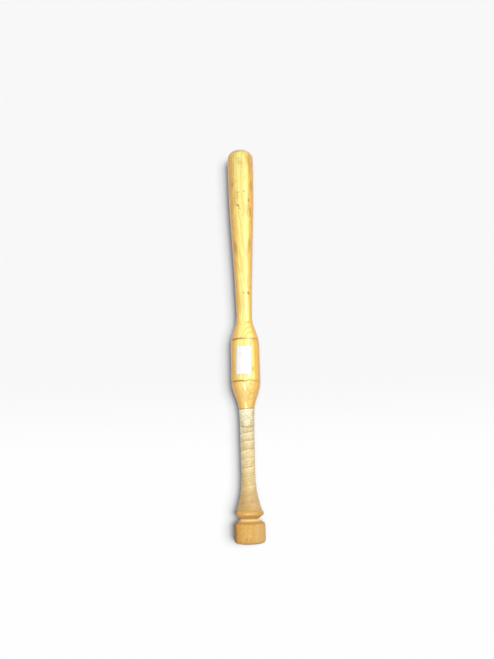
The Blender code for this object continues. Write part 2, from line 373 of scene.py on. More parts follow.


# Stains and bruises seen on the wood, and a few marks of painted shade. Length runs along the bat and width
# round it, both half the mark's
DARK, BROWN, TAN, BURNT, LEFT_LIMB_SHADE = "86480F", "A86E24", "CC9440", "8A5A1E", "7A4C1C"
WOOD_MARKS = tuple(Mark(*row) for row in (
    # The curved dent on the barrel
    (0.72, 112, 0.0013, 0.0028, -10, 0.75, DARK),
    (0.719, 107.5, 0.0013, 0.0028, 20, 0.8, DARK),
    (0.716, 103, 0.0017, 0.0023, 45, 0.75, DARK),
    (0.711, 98, 0.0032, 0.0012, 30, 0.6, DARK),
    # Bruises and stains on the barrel's two sides
    (0.732, 53, 0.0052, 0.002, 0, 0.75, BROWN),
    (0.7515, 76, 0.0012, 0.0036, 10, 0.6, BROWN),
    (0.7495, 104, 0.0013, 0.004, -8, 0.6, BROWN),
    (0.77, 131, 0.008, 0.0036, 0, 0.42, BROWN),
    (0.776, 117, 0.007, 0.002, 0, 0.25, BROWN),
    (0.7685, 36, 0.016, 0.005, 0, 0.45, BROWN),
    (0.705, 42, 0.014, 0.0036, 5, 0.55, BROWN),
    (0.695, 84, 0.0028, 0.002, 0, 0.3, BROWN),
    (0.72, 140, 0.02, 0.005, 0, 0.25, TAN),
    (0.808, 128, 0.024, 0.006, 0, 0.15, TAN),
    (0.815, 44, 0.026, 0.005, 0, 0.4, TAN),
    # Brown flecks down the long taper
    (0.623, 134, 0.018, 0.006, 4, 0.5, "C08434"),
    (0.6295, 46, 0.015, 0.005, 0, 0.45, "B87C30"),
    (0.5175, 55, 0.0046, 0.0034, 0, 0.75, BROWN),
    (0.5175, 89.5, 0.003, 0.0022, 0, 0.5, BROWN),
    (0.529, 50, 0.006, 0.0024, 0, 0.4, TAN),
    (0.4515, 65, 0.003, 0.0014, 30, 0.6, BROWN),
    # Where each scored line was burnt deepest
    (UPPER_SCORE, 117, 0.0019, 0.015, 0, 0.6, BURNT),
    (UPPER_SCORE, 145, 0.0019, 0.01, 0, 0.45, BURNT),
    (UPPER_SCORE, 50, 0.0019, 0.008, 0, 0.35, BURNT),
    (LOWER_SCORE, 113, 0.0018, 0.014, 0, 0.6, BURNT),
    (LOWER_SCORE, 140, 0.0018, 0.008, 0, 0.4, BURNT),
    # The loops of grain on the lower taper's right
    (0.306, 60, 0.006, 0.0014, -32, 0.45, TAN),
    (0.295, 73, 0.0064, 0.0014, -38, 0.45, TAN),
    (0.286, 80, 0.004, 0.0016, -20, 0.35, TAN),
    # The left side of the barrel, worn brown in patches
    (0.795, 126, 0.016, 0.0046, 0, 0.15, TAN),
    (0.742, 112, 0.013, 0.0052, 4, 0.35, TAN),
    (0.728, 124, 0.015, 0.005, 0, 0.3, TAN),
    (0.85, 100, 0.003, 0.016, 0, 0.3, TAN),
    # The streak beside the sticker
    (0.348, 59, 0.0072, 0.0011, -4, 0.6, DARK),
    # The block's knocks, and painted shade down the left of the block and of the ring
    (0.02, 166, 0.03, 0.013, 0, 0.9, LEFT_LIMB_SHADE),
    (0.0585, 168, 0.007, 0.011, 0, 0.85, LEFT_LIMB_SHADE),
    (0.009, 102, 0.0024, 0.0024, 0, 0.55, BROWN),
    (0.008, 83.5, 0.002, 0.002, 0, 0.45, BROWN),
    # The sides that the camera doesn't see
    (0.7, 215, 0.016, 0.006, 5, 0.5, BROWN),
    (0.79, 280, 0.012, 0.005, 0, 0.45, BROWN),
    (0.58, 250, 0.018, 0.003, 2, 0.4, TAN),
    (0.37, 270, 0.008, 0.004, 0, 0.5, BROWN),
    (0.025, 230, 0.006, 0.005, 0, 0.4, BROWN),
))

# Handling dirt on the tape
TAPE_MARKS = tuple(Mark(*row) for row in (
    (0.0785, 127.5, 0.002, 0.006, 0, 0.45, "A9844C"),
    (0.08, 72.5, 0.0016, 0.005, 0, 0.4, "A9844C"),
    (0.0895, 172, 0.004, 0.004, 0, 0.85, "7A4E1C"),
    (0.086, 150, 0.003, 0.006, 0, 0.35, "B08A50"),
    (0.07, 110, 0.003, 0.01, 0, 0.25, "B08A50"),
    (0.125, 240, 0.012, 0.009, 0, 0.3, "B08A50"),
    (0.1, 300, 0.01, 0.012, 0, 0.3, "A9844C"),
))

# Painted shade along the band's folds and wrinkles
BAND_MARKS = tuple(Mark(*row) for row in (
    (0.2482, 70, 0.0012, 0.005, 4, 0.5, "B8964E"),
    (0.244, 58, 0.0012, 0.004, -30, 0.4, "B8964E"),
    (0.238, 58, 0.006, 0.0022, 0, 0.4, "B59C62"),
    (0.2395, 138, 0.005, 0.003, 0, 0.25, "B59C62"),
    (0.254, 40, 0.003, 0.005, 0, 0.25, "B59C62"),
))


def ovals(node, place, marks):
    """Each mark as a layer of paint: a soft-edged oval lying on the bat at its place and tilt."""
    layers = []
    for mark in marks:
        facing = Matrix.Rotation(math.radians(90 - mark.angle), 3, "Y")
        lie = facing @ Matrix.Rotation(math.radians(mark.tilt), 3, "Z")
        reach = (mark.width, mark.length, max(mark.width, mark.length))
        centre = surface_spot(mark.along, mark.angle)
        near = node("Mapping", place, centre, lie.to_euler(), reach, vector_type="TEXTURE")
        away = node("VectorMath.LENGTH", near)
        layers.append((node("MapRange", away, 0.5, 1.25, mark.strength, 0.0, **SMOOTH), mark.tone))
    return layers


def varnished_ash(wood):
    """White ash, flat-sawn, turned and varnished, the varnish yellowed to honey with age.

    The eye sees ring arcs on the tapers and close lines down the two sides, dark dashes where the open
    pores are cut, a wet gloss from the barrel to the tape, and a dull, darker knob that has lost its varnish.
    """
    material, node, shader = new_material("varnished_turned_ash", 1.5)
    place = node("TexCoord", output="Object")
    facing = node("TexCoord", output="Normal")
    round_x, along, round_z = node("SeparateXYZ", place, output=None).outputs

    # Growth rings are wide circles about a pith far below; slow noise bends them along the trunk
    bend = node("Mapping", place, None, None, (26.0, 4.0, 26.0))
    bend = node("TexNoise", bend, 1.0, 3.0, 0.5, output="Color")
    bend = node("VectorMath.SUBTRACT", bend, (0.5, 0.5, 0.5))
    bend = node("VectorMath.MULTIPLY", bend, (0.010, 0.0, 0.010))
    pith = Vector((math.sin(wood.ring_lean), 0.0, math.cos(wood.ring_lean))) * -wood.pith_depth
    from_pith = node("VectorMath.MULTIPLY", place, (1.0, 0.0, 1.0))
    from_pith = node("VectorMath.SUBTRACT", from_pith, pith)
    from_pith = node("VectorMath", from_pith, bend)
    ring = node("VectorMath.LENGTH", from_pith)
    ring = node("Math.DIVIDE", ring, wood.ring_spacing)
    year = node("Math.FRACT", ring)
    early = node("MapRange", year, 0.0, 0.42, 1.0, 0.0, **SMOOTH)
    turn_of_year = node("MapRange", year, 0.9, 1.0, **SMOOTH)
    early = node("Math.MAXIMUM", early, turn_of_year)
    early_line = node("Math.MULTIPLY", early, 0.30)

    # Streaks 5 mm across and 150 mm long, and pores 0.5 mm across and 14 mm long
    streak = patches(node, place, (200.0, 6.5, 200.0), 4.0, 0.6, 0.36, 0.70)
    faded = node("Math.MULTIPLY", streak, 0.25)
    pore = patches(node, place, (2000.0, 70.0, 2000.0), 2.0, 0.5, 0.56, 0.70)
    open_pore = node("MapRange", early, 0.2, 0.8, 0.25, 1.0)
    pore = node("Math.MULTIPLY", pore, open_pore)
    pore_dash = node("Math.MULTIPLY", pore, 0.40)

    # Painted light and shade: the flat-sawn faces, one of them turned to the camera, are pale straw, and the
    # edge-grain sides between them honey, turning amber at the limbs, as light falls off round the bat
    spoke = node("CombineXYZ", round_x, 0.0, round_z)
    radius = node("VectorMath.LENGTH", spoke)
    cosine = node("Math.DIVIDE", round_x, radius)
    spoke = node("VectorMath.NORMALIZE", spoke)
    face = Vector((math.cos(wood.face_angle), 0.0, math.sin(wood.face_angle)))
    flatness = node("VectorMath.DOT_PRODUCT", spoke, face)
    flatness = node("Math.ABSOLUTE", flatness)
    flatness = node("Math.MULTIPLY_ADD", streak, -0.06, flatness)
    stray = node("Mapping", place, None, None, (60.0, 22.0, 60.0))
    stray = node("TexNoise", stray, 1.0, 3.0, 0.6)
    stray = node("Math.SUBTRACT", stray, 0.5)
    right_side = node("Math.MULTIPLY_ADD", stray, 0.10, flatness)
    right_side = node("MapRange", right_side, 0.87, 0.79, **SMOOTH)
    left_side = node("Math.MULTIPLY_ADD", stray, 0.35, flatness)
    left_side = node("MapRange", left_side, 0.92, 0.66, **SMOOTH)
    on_right = node("MapRange", cosine, -0.1, 0.3)
    side = node("Mix", on_right, left_side, right_side, data_type="FLOAT")
    edge_grain_and_shade = node("MapRange", flatness, 0.60, 0.36, 0.0, 0.85, **SMOOTH)
    # Painted shade: the right flank is darker, least on the knob
    right_limb_shade = node("MapRange", cosine, 0.62, 0.97, 0.0, 0.34, **SMOOTH)

    # End grain has neither face nor side, so these tones of painted light and shade run together over the
    # domed tip and the butt
    endwise = node("SeparateXYZ", facing, output=None).outputs[1]
    endwise = node("Math.ABSOLUTE", endwise)
    on_end = node("MapRange", endwise, 0.40, 0.88, **SMOOTH)
    side, edge_grain_and_shade, right_limb_shade = (
        node("Mix", on_end, share, settled, data_type="FLOAT")
        for share, settled in ((side, 0.6), (edge_grain_and_shade, 0.3), (right_limb_shade, 0.1))
    )
    varnished = node("MapRange", along, BLOCK_END - 0.001, BLOCK_END + 0.002, 0.35, 1.0)
    right_limb_shade = node("Math.MULTIPLY", right_limb_shade, varnished)
    # It also drinks more varnish, which darkens its middle and shows the butt's rings
    end_grain = node("MapRange", endwise, 0.88, 0.99, 0.0, 0.4, **SMOOTH)

    # Brown flecks 3 mm across in the two flanks, thickest on the barrel
    fleck = patches(node, place, (330.0, 130.0, 330.0), 3.0, 0.65, 0.50, 0.68)
    flecked = node("MapRange", along, 0.50, 0.72, 0.22, 0.42, **SMOOTH)
    fleck = node("Math.MULTIPLY", fleck, flecked)
    fleck = node("Math.MULTIPLY", fleck, side)
    # Painted shade: the taper above the tape is darker, where it turns from the light
    handled_and_shaded = node("MapRange", along, LOWER_SCORE + 0.002, LOWER_SCORE - 0.020, 0.0, 0.45)
    # Blotches 25 mm across, where hands and balls have worn the varnish brown, most on the barrel
    blotch = patches(node, place, (42.0, 20.0, 42.0), 5.0, 0.62, 0.48, 0.72)
    on_barrel = node("MapRange", along, 0.55, 0.75, 0.25, 0.6, **SMOOTH)
    worn = node("Math.MULTIPLY", blotch, on_barrel)

    # The knob end was never varnished as thickly: redder, dull, and speckled with grime
    knob = node("MapRange", along, BLOCK_END + 0.002, BLOCK_END - 0.001, **SMOOTH)
    speck = patches(node, place, (420.0,) * 3, 4.0, 0.7, 0.40, 0.66, 0.55, 0.95)
    speckled = node("Math.MULTIPLY", knob, speck)
    end_rings = node("Math.MULTIPLY", end_grain, early)
    end_rings = node("Math.MULTIPLY", end_rings, knob)
    # Painted light: the block's right flank is paler than the rest of it
    block_right_light = node("MapRange", cosine, 0.1, 0.8, 0.0, 0.25, **SMOOTH)
    on_block = node("MapRange", along, BLOCK_SHOULDER + 0.001, BLOCK_SHOULDER - 0.005)
    block_right_light = node("Math.MULTIPLY", block_right_light, on_block)
    layers = [
        (faded, wood.honey), (side, wood.honey), (edge_grain_and_shade, wood.amber), (right_limb_shade, "B87828"),
        (fleck, "BC7A2C"), (handled_and_shaded, "E2A850"), (early_line, wood.ring_tone), (pore_dash, "9A6828"),
        (worn, "C88A3A"), (speckled, wood.knob_tone), (block_right_light, "F3DAA9"),
    ]
    # Painted light keeps the groove's floor pale, and painted shade darkens the block's two edges, its
    # shoulder and the butt's rim
    for edge, near, far, strength, tone in (
        (GROOVE_FLOOR, 0.0008, 0.0032, 0.85, "FFDC94"), (BLOCK_SHOULDER, 0.0005, 0.0020, 0.35, "8E5E28"),
        (0.0, 0.0006, 0.0030, 0.45, "8A5C2C"),
    ):
        layers.append((node("MapRange", gap(node, along, edge), near, far, strength, 0.0, **SMOOTH), tone))
    layers += [(end_grain, "C89A50"), (end_rings, "8A5A28")]

    # Both scored lines were burnt with a wire, which leaves soft scorch beside them
    waver = node("TexNoise", place, 160.0, 3.0, 0.6)
    patchy = node("TexNoise", place, 38.0, 2.0, 0.5)
    left_burn = node("MapRange", cosine, 0.35, -0.35, 0.35, 1.0, **SMOOTH)
    held_and_limb_shade = node("MapRange", patchy, 0.38, 0.56, 0.5, 1.0, **SMOOTH)
    held_and_limb_shade = node("Math.MULTIPLY", held_and_limb_shade, left_burn)
    for score, depth in ((LOWER_SCORE, 0.20), (UPPER_SCORE, 0.34)):
        away = node("Math.MULTIPLY_ADD", waver, 0.0012, gap(node, along, score))
        burnt = node("MapRange", away, 0.0012, 0.0030, depth, 0.0, **SMOOTH)
        burnt = node("Math.MULTIPLY", burnt, held_and_limb_shade)
        scorch = node("MapRange", away, 0.0010, 0.0062, 0.25, 0.0, **SMOOTH)
        layers += [(scorch, "B4772A"), (burnt, "7A4C1A")]

    # Old glue squeezed out along the band's slanting top edge
    patchy_glue = node("MapRange", patchy, 0.35, 0.6, 0.55, 1.0)
    edge = node("Math.MULTIPLY_ADD", cosine, BAND_TOP_TILT, BAND_TOP)
    away = node("Math.MULTIPLY_ADD", waver, 0.0016, gap(node, along, edge))
    glued = node("MapRange", away, 0.0016, 0.0036, 0.75, 0.0, **SMOOTH)
    layers.append((node("Math.MULTIPLY", glued, patchy_glue), "6A481C"))

    # Noise of 4 mm cells moves each mark's edge by up to 2 mm, so that no mark is a clean oval
    smudged = node("TexNoise", place, 260.0, 4.0, 0.65, output="Color")
    smudged = node("VectorMath.SUBTRACT", smudged, (0.5, 0.5, 0.5))
    smudged = node("VectorMath.MULTIPLY_ADD", smudged, (0.0030, 0.0048, 0.0030), place)
    layers += ovals(node, smudged, WOOD_MARKS)

    # Gloss where the varnish is whole, a rubbed shine on the ring, and none on the block
    rubbed = node("MapRange", along, 0.048, 0.042, 0.42, 0.72)
    rough = node("Mix", knob, wood.varnish_roughness, rubbed, data_type="FLOAT")
    rough = node("Math.MULTIPLY_ADD", end_grain, 0.10, rough)
    rough = node("Math.MULTIPLY_ADD", blotch, 0.06, rough)
    ripple = node("Math.MULTIPLY", speck, knob)
    ripple = node("Math.MULTIPLY_ADD", pore, -0.5, ripple)
    ripple = node("Math.MULTIPLY_ADD", early, -0.2, ripple)
    bump = node("Bump", 0.5, 0.0002, inputs={"Height": ripple})
    colour = painted(node, wood.straw, layers)
    fill(shader, {"Base Color": colour, "Roughness": rough, "Normal": bump, "Specular IOR Level": 0.7})
    return material


class BatWood(bpy.types.PropertyGroup):
    sides: IntProperty(name="Sides", description="Faces round the billet", default=120, min=24, max=240)
    untrue: amount("Untrue", "How far the turning wanders, as a share of the radius", 0.006)
    ring_spacing: distance("Ring spacing", "One year's growth", 0.0044)
    ring_lean: bearing("Ring lean", "How far the pith lies to the left of below", 26.0)
    face_angle: bearing("Face angle", "Where round the bat the flat-sawn face is", 86.0)
    pith_depth: distance("Pith depth", "Distance to the trunk's pith", 0.11)
    straw: tint("Straw", "Palest wood", "FFF28C")
    honey: tint("Honey", "Wood in the streaks", "FCCB54")
    amber: tint("Amber", "Wood where the rings come out edge-on", "F8AC2C")
    ring_tone: tint("Ring tone", "Early wood of each ring", "D29B45")
    knob_tone: tint("Knob tone", "Bare wood of the block and ring", "C88E3E")
    varnish_roughness: FloatProperty(
        name="Varnish roughness", description="Where the varnish is whole", default=0.19, min=0.0, max=1.0,
        subtype="FACTOR",
    )


class BAT_OT_turn_billet(bpy.types.Operator):
    """Turn the billet from the CAD outline and varnish it"""

    bl_idname = "bat.turn_billet"
    bl_label = "Turn billet"

    def execute(self, context):
        wood = context.scene.bat_wood
        points = bpy.data.meshes.new("billet_outline")
        points.from_pydata([(spot.x, spot.y, 0.0) for spot in OUTLINE], [], [])
        outline = link_object("billet_outline", points)
        sizes = {"Outline": outline, "Sides": wood.sides, "Untrue": wood.untrue, "Seed": 3.0}
        sizes["Finish"] = varnished_ash(wood)
        billet = shaped_piece("turned_billet", billet_tree(), sizes)
        bpy.data.objects.remove(outline)
        ride_for(billet, "turned_bat")
        return {"FINISHED"}


# Rays that feel for the surface beneath start this far out. The noise is read off a cylinder, and the cloth's
# length is counted at the handle's mean radius
RAY_RADIUS = 0.05
NOISE_RADIUS = 0.016
HANDLE_RADIUS = 0.0155


def strip_tree():
    """Winds a strip onto what lies beneath it: the wood, or the wood and a layer already wound.

    Each turn's upper edge lies over the turn before, then drops onto the wood. The surface beneath is felt
    for with rays from outside, and blurred, because stiff cloth bridges a step.
    """
    floats = (
        "Turns", "Start angle", "Top edge", "Pitch", "Width", "Last edge", "Top tilt", "Foot tilt", "Waver",
        "Lap lift", "Lap length", "Fall length", "Climb turns", "Stand off", "Wrinkle", "Pucker", "Seed",
    )
    sizes = {"Wood": "Object", "Layer below": "Object", "Rows": "Int", "Columns": "Int"}
    sizes.update({label: "Float" for label in floats})
    sizes["Finish"] = "Material"
    tree, node, size = new_shape_tree("wound strip", sizes)
    grid = node("GeometryNodeMeshGrid", 1.0, 1.0, size["Rows"], size["Columns"])
    flat = node("SeparateXYZ", node("GeometryNodeInputPosition"), output=None)
    turned = node("Math", flat.outputs[0], 0.5)
    turned = node("Math.MULTIPLY", turned, size["Turns"])
    share = node("Math", flat.outputs[1], 0.5)
    angle = node("Math.MULTIPLY_ADD", turned, math.tau, size["Start angle"])
    cosine = node("Math.COSINE", angle)
    sine = node("Math.SINE", angle)

    # Both edges: the pitch, the tilt, and the waver of winding by hand
    wander = node("TexNoise", turned, 1.7, 5.0, 0.45, noise_dimensions="1D", normalize=False)
    wander = node("Math.MULTIPLY", wander, size["Waver"])
    wound = node("Math.MULTIPLY", turned, size["Pitch"])
    wound = node("Math.SUBTRACT", size["Top edge"], wound)
    wound = node("Math", wound, wander)
    top = node("Math.MULTIPLY_ADD", cosine, size["Top tilt"], wound)
    foot = node("Math.SUBTRACT", wound, size["Width"])
    slant = node("Math.MULTIPLY", sine, size["Foot tilt"])
    foot = node("Math.SUBTRACT", foot, slant)
    foot = node("Math.MAXIMUM", foot, size["Last edge"])
    width = node("Math.SUBTRACT", top, foot)
    across = node("Math.MULTIPLY", width, share)
    along = node("Math.SUBTRACT", top, across)

    # The lift over the turn before, once there is one
    fallen = node("Math", size["Lap length"], size["Fall length"])
    lap = node("MapRange", across, size["Lap length"], fallen, 1.0, 0.0, **SMOOTH)
    climb_from = node("Math.SUBTRACT", 1.0, size["Climb turns"])
    climb = node("MapRange", turned, climb_from, 1.0, **SMOOTH)
    lift = node("Math.MULTIPLY", lap, climb)
    lift = node("Math.MULTIPLY_ADD", lift, size["Lap lift"], size["Stand off"])

    outward = node("CombineXYZ", cosine, 0.0, sine)
    aim = node("VectorMath.SCALE", outward, -1.0)
    start = node("VectorMath.SCALE", outward, RAY_RADIUS)
    lengthwise = node("CombineXYZ", 0.0, along, 0.0)
    start = node("VectorMath", start, lengthwise)
    felt = []
    for layer in ("Wood", "Layer below"):
        target = node("GeometryNodeObjectInfo", size[layer], output="Geometry")
        ray = node("GeometryNodeRaycast", target, None, start, aim, RAY_RADIUS, output=None)
        radius = node("Math.SUBTRACT", RAY_RADIUS, ray.outputs["Hit Distance"])
        felt.append(node("Math.MULTIPLY", radius, ray.outputs["Is Hit"]))
    beneath = node("Math.MAXIMUM", *felt)
    bridged = node("GeometryNodeBlurAttribute", beneath, 5)
    beneath = node("Math.MAXIMUM", beneath, bridged)

    # Wrinkles 10 mm across everywhere, and closer puckers where the tape climbs the flare
    spot = node("VectorMath.SCALE", outward, NOISE_RADIUS)
    spot = node("VectorMath", spot, lengthwise)
    wrinkle = node("TexNoise", spot, size["Seed"], 95.0, 3.0, 0.55, noise_dimensions="4D")
    pucker = node("TexNoise", spot, size["Seed"], 260.0, 2.0, 0.5, noise_dimensions="4D")
    flared = node("MapRange", along, 0.125, 0.075, **SMOOTH)
    pucker = node("Math.MULTIPLY", pucker, flared)
    raised = node("Math.MULTIPLY_ADD", wrinkle, size["Wrinkle"], lift)
    raised = node("Math.MULTIPLY_ADD", pucker, size["Pucker"], raised)
    radius = node("Math", beneath, raised)
    place = node("VectorMath.SCALE", outward, radius)
    place = node("VectorMath", place, lengthwise)

    # For the weave and the dirt: metres run along the strip, metres from its upper edge, and turns made
    run = node("Math.MULTIPLY", turned, math.tau * HANDLE_RADIUS)
    on_strip = node("CombineXYZ", run, across, turned)
    strip = node(
        "GeometryNodeStoreNamedAttribute", grid, None, "strip_place", on_strip, data_type="FLOAT_VECTOR",
    )
    strip = node("GeometryNodeSetPosition", strip, None, place)
    close_shape_tree(node, strip, size["Finish"])
    return tree


# Warp and weft repeat at this distance, about twice a real cloth's, so that they show in a close view
WEAVE_PERIOD = 0.0016
MOST_SOAK = 0.38


def cloth_tape(name, tape, lapped_at, marks):
    """Cotton friction tape: plain-woven cloth with a rubbery backing, yellowed and handled.

    The eye sees a dull cream cloth that darkens towards the knob, a painted highlight along each turn's upper
    edge, painted shade down each turn to the crease under it, with grey-brown dirt in the crease, and painted
    shade down the two sides.
    """
    material, node, shader = new_material(name, 1.45)
    place = node("TexCoord", output="Object")
    height = node("SeparateXYZ", place, output=None).outputs[1]
    on_strip = node("Attribute", attribute_name="strip_place", output="Vector")
    run, across, _ = node("SeparateXYZ", on_strip, output=None).outputs

    # The cloth yellows from the band downwards, and turns grimy on the flare
    handled_and_shaded = node("MapRange", height, 0.250, 0.145, **SMOOTH)
    grimy = node("MapRange", height, 0.130, 0.072, **SMOOTH)
    # Uneven soaking, 20 mm across, and streaks that run round with the strip
    soak = patches(node, place, (52.0,) * 3, 4.0, 0.6, 0.38, 0.70, 0.0, MOST_SOAK)
    mottle = patches(node, place, (240.0,) * 3, 2.0, 0.6, 0.46, 0.66, 0.0, 0.22)
    streak = patches(node, on_strip, (38.0, 380.0, 0.0), 4.0, 0.65, 0.45, 0.68, 0.0, 0.50)

    # Painted shade down the two sides: the left side darkest towards the knob, and the right side towards the
    # band
    spoke = node("VectorMath.MULTIPLY", place, (1.0, 0.0, 1.0))
    spoke = node("VectorMath.NORMALIZE", spoke)
    cosine, _, sine = node("SeparateXYZ", spoke, output=None).outputs
    limb_shades = []
    for near, far, low, high, most in ((0.35, -0.9, 0.190, 0.085, 0.70), (0.45, 0.95, 0.120, 0.240, 0.45)):
        on_side = node("MapRange", cosine, near, far, **SMOOTH)
        limb_shades.append(node("Math.MULTIPLY", on_side, node("MapRange", height, low, high, 0.0, most)))
    held_and_limb_shade = node("Math.MAXIMUM", *limb_shades)

    # Painted shade deepens down each turn to the crease where the next turn laps it, where dirt also lies,
    # and a painted shadow lies under the band's foot
    uneven = node("TexNoise", on_strip, 28.0, 2.0, 0.5)
    uneven = node("MapRange", uneven, 0.35, 0.65, 0.3, 1.0)
    higher_up = node("MapRange", height, 0.110, 0.190, 0.35, 1.0, **SMOOTH)
    uneven = node("Math.MULTIPLY", uneven, higher_up)
    shade = node("MapRange", across, 0.003, lapped_at, 0.0, 0.42, **SMOOTH)
    crease = node("MapRange", across, lapped_at - 0.0036, lapped_at - 0.0004, 0.0, 0.42, **SMOOTH)
    foot = node("Math.MULTIPLY_ADD", sine, -BAND_FOOT_TILT, BAND_LOW + BAND_FOOT_TILT)
    band_foot_shadow = node("MapRange", gap(node, height, foot), 0.0005, 0.0026, 0.75, 0.0, **SMOOTH)
    shade, crease, band_foot_shadow = (node("Math.MULTIPLY", dirt, uneven) for dirt in (shade, crease, band_foot_shadow))
    # Painted highlight along each turn's upper edge, fading towards the knob
    rim_highlight = node("MapRange", across, 0.0004, 0.0060, 0.30, 0.0, **SMOOTH)
    rim_fade = node("MapRange", height, 0.110, 0.190, 0.1, 1.0, **SMOOTH)
    rim_highlight = node("Math.MULTIPLY", rim_highlight, rim_fade)

    # Warp and weft cross at right angles to the strip's edges
    thread = math.tau / WEAVE_PERIOD
    warp = node("Math.SINE", node("Math.MULTIPLY", run, thread))
    weft = node("Math.SINE", node("Math.MULTIPLY", across, thread))
    weave = node("Math.MULTIPLY", warp, weft)
    between = node("MapRange", weave, -1.0, 1.0, 0.08, 0.0)
    fuzz = node("TexNoise", place, 900.0, 3.0, 0.6)
    cloth = node("Math.MULTIPLY_ADD", fuzz, 0.8, weave)
    bump = node("Bump", 0.45, 0.0002, inputs={"Height": cloth})
    rough = node("MapRange", soak, 0.0, MOST_SOAK, 0.62, 0.78)
    colour = painted(node, tape.clean, [
        (handled_and_shaded, tape.handled_and_shaded), (grimy, tape.grimy),
        *((share, tape.soaked) for share in (soak, mottle, streak, held_and_limb_shade, shade)), (crease, tape.crease),
        (rim_highlight, tape.clean), (band_foot_shadow, tape.crease), *ovals(node, place, marks), (between, tape.crease),
    ])
    fill(shader, {"Base Color": colour, "Roughness": rough, "Normal": bump})
    # Loose fibres catch the light along the handle's two sides
    fill(shader, {"Sheen Weight": 0.15, "Sheen Roughness": 0.5})
    return material


class BatTape(bpy.types.PropertyGroup):
    width: distance("Width", "Width of the tape", 0.025)
    pitch: distance("Pitch", "How far each turn moves down the handle", 0.0177)
    thickness: distance("Thickness", "Thickness of the cloth", 0.00035)
    stand_off: distance("Stand-off", "Air left under the cloth", 0.00012)
    wrinkle: distance("Wrinkle", "Height of its wrinkles", 0.00022)
    waver: distance("Waver", "How far a turn's edge strays", 0.0016)
    clean: tint("Clean", "Cloth at the band", "FFFBD6")
    handled_and_shaded: tint("Handled", "Cloth at the middle of the grip", "F6E2AA")
    grimy: tint("Grimy", "Cloth beside the knob", "D8B67C")
    soaked: tint("Soaked", "Stained cloth", "C09A58")
    # Painted shade and dirt in each crease, and painted shadow under the band's foot
    crease: tint("Crease", "Dirt under each edge", "947038")


# A turn clears the one that it laps by the gap, stays lifted for the margin past the lap, and then falls back
# to the wood. The strip's end is cut narrow
LAP_GAP = 0.00012
LAP_FALL = 0.003
LAP_MARGIN = 0.0012
LAST_WIDTH = 0.003


def strip_sizes(tape, **changed):
    """Sizes that the grip tape and the band share, with those that this winding adds or changes."""
    sizes = {
        "Wood": bpy.data.objects["turned_billet"], "Layer below": None, "Rows": 720, "Columns": 21,
        "Start angle": TAPE_START_ANGLE, "Top edge": TAPE_HIGH, "Pitch": tape.pitch,
        "Width": tape.width, "Last edge": TAPE_LOW, "Top tilt": 0.0, "Foot tilt": 0.0, "Waver": tape.waver,
        "Lap lift": tape.thickness + LAP_GAP, "Lap length": tape.width - tape.pitch + LAP_MARGIN,
        "Fall length": LAP_FALL, "Climb turns": 0.25, "Stand off": tape.stand_off, "Wrinkle": tape.wrinkle,
        "Pucker": 0.0, "Seed": 1.0,
    }
    sizes.update({label.replace("_", " ").capitalize(): value for label, value in changed.items()})
    return sizes


class BAT_OT_wind_grip_tape(bpy.types.Operator):
    """Wind the grip tape from under the band down to the knob's ring"""

    bl_idname = "bat.wind_grip_tape"
    bl_label = "Wind grip tape"

    def execute(self, context):
        tape = context.scene.bat_tape
        turns = (TAPE_HIGH - TAPE_LOW - LAST_WIDTH) / tape.pitch
        cloth = cloth_tape("cotton_grip_tape", tape, tape.pitch, TAPE_MARKS)
        sizes = strip_sizes(tape, turns=turns, pucker=0.0007, finish=cloth)
        winding = shaped_piece("wound_grip_tape", strip_tree(), sizes, tape.thickness)
        winding.data.set_sharp_from_angle(angle=CREASE_ANGLE)
        ride_for(winding, "grip_tape")
        return {"FINISHED"}


class BAT_OT_close_grip(bpy.types.Operator):
    """Wrap the one wide turn that closes the winding under the swell"""

    bl_idname = "bat.close_grip"
    bl_label = "Close grip"

    def execute(self, context):
        tape = context.scene.bat_tape
        # The band laps only its own start, at the back, and nothing laps it: its crease lies beyond its width
        lap_turns = 0.10
        sizes = strip_sizes(
            tape, layer_below=bpy.data.objects["wound_grip_tape"], rows=160, columns=41, turns=1 + lap_turns,
            start_angle=-math.pi / 2 - math.pi * lap_turns, top_edge=BAND_TOP, pitch=0.0, last_edge=0.0,
            width=BAND_TOP - BAND_LOW - BAND_FOOT_TILT, top_tilt=BAND_TOP_TILT, foot_tilt=BAND_FOOT_TILT,
            waver=0.0006, lap_length=1.0, climb_turns=0.07, seed=6.0,
            finish=cloth_tape("cotton_tape_band", tape, 0.06, BAND_MARKS),
        )
        band = shaped_piece("closing_band", strip_tree(), sizes, tape.thickness)
        band.data.set_sharp_from_angle(angle=CREASE_ANGLE)
        ride_for(band, "tape_top_band")
        return {"FINISHED"}


def sticker_paper(label):
    """Coated label paper, pasted on by hand: smooth, white and faintly greyed at its rubbed edges."""
    material, node, shader = new_material("pasted_label_paper", 1.5)
    place = node("TexCoord", output="Object")
    on_sheet = node("Attribute", attribute_name="sheet_place", output="Vector")
    across, down, _ = node("SeparateXYZ", on_sheet, output=None).outputs
    edge = node("Math.MINIMUM", across, down)
    rubbed = node("TexNoise", place, 240.0, 4.0, 0.65)
    edge = node("Math.MULTIPLY_ADD", rubbed, -0.0024, edge)
    edge = node("MapRange", edge, -0.0012, 0.0010, 0.5, 0.0, **SMOOTH)
    smear = patches(node, place, (75.0,) * 3, 4.0, 0.6, 0.50, 0.78, 0.0, 0.35)
    colour = painted(node, label.paper, [(edge, "BDB7A8"), (smear, "CFCBC0")])
    fibre = node("TexNoise", place, 1400.0, 3.0, 0.6)
    bump = node("Bump", 0.15, 0.0001, inputs={"Height": fibre})
    fill(shader, {"Base Color": colour, "Roughness": 0.55, "Specular IOR Level": 0.25, "Normal": bump})
    return material


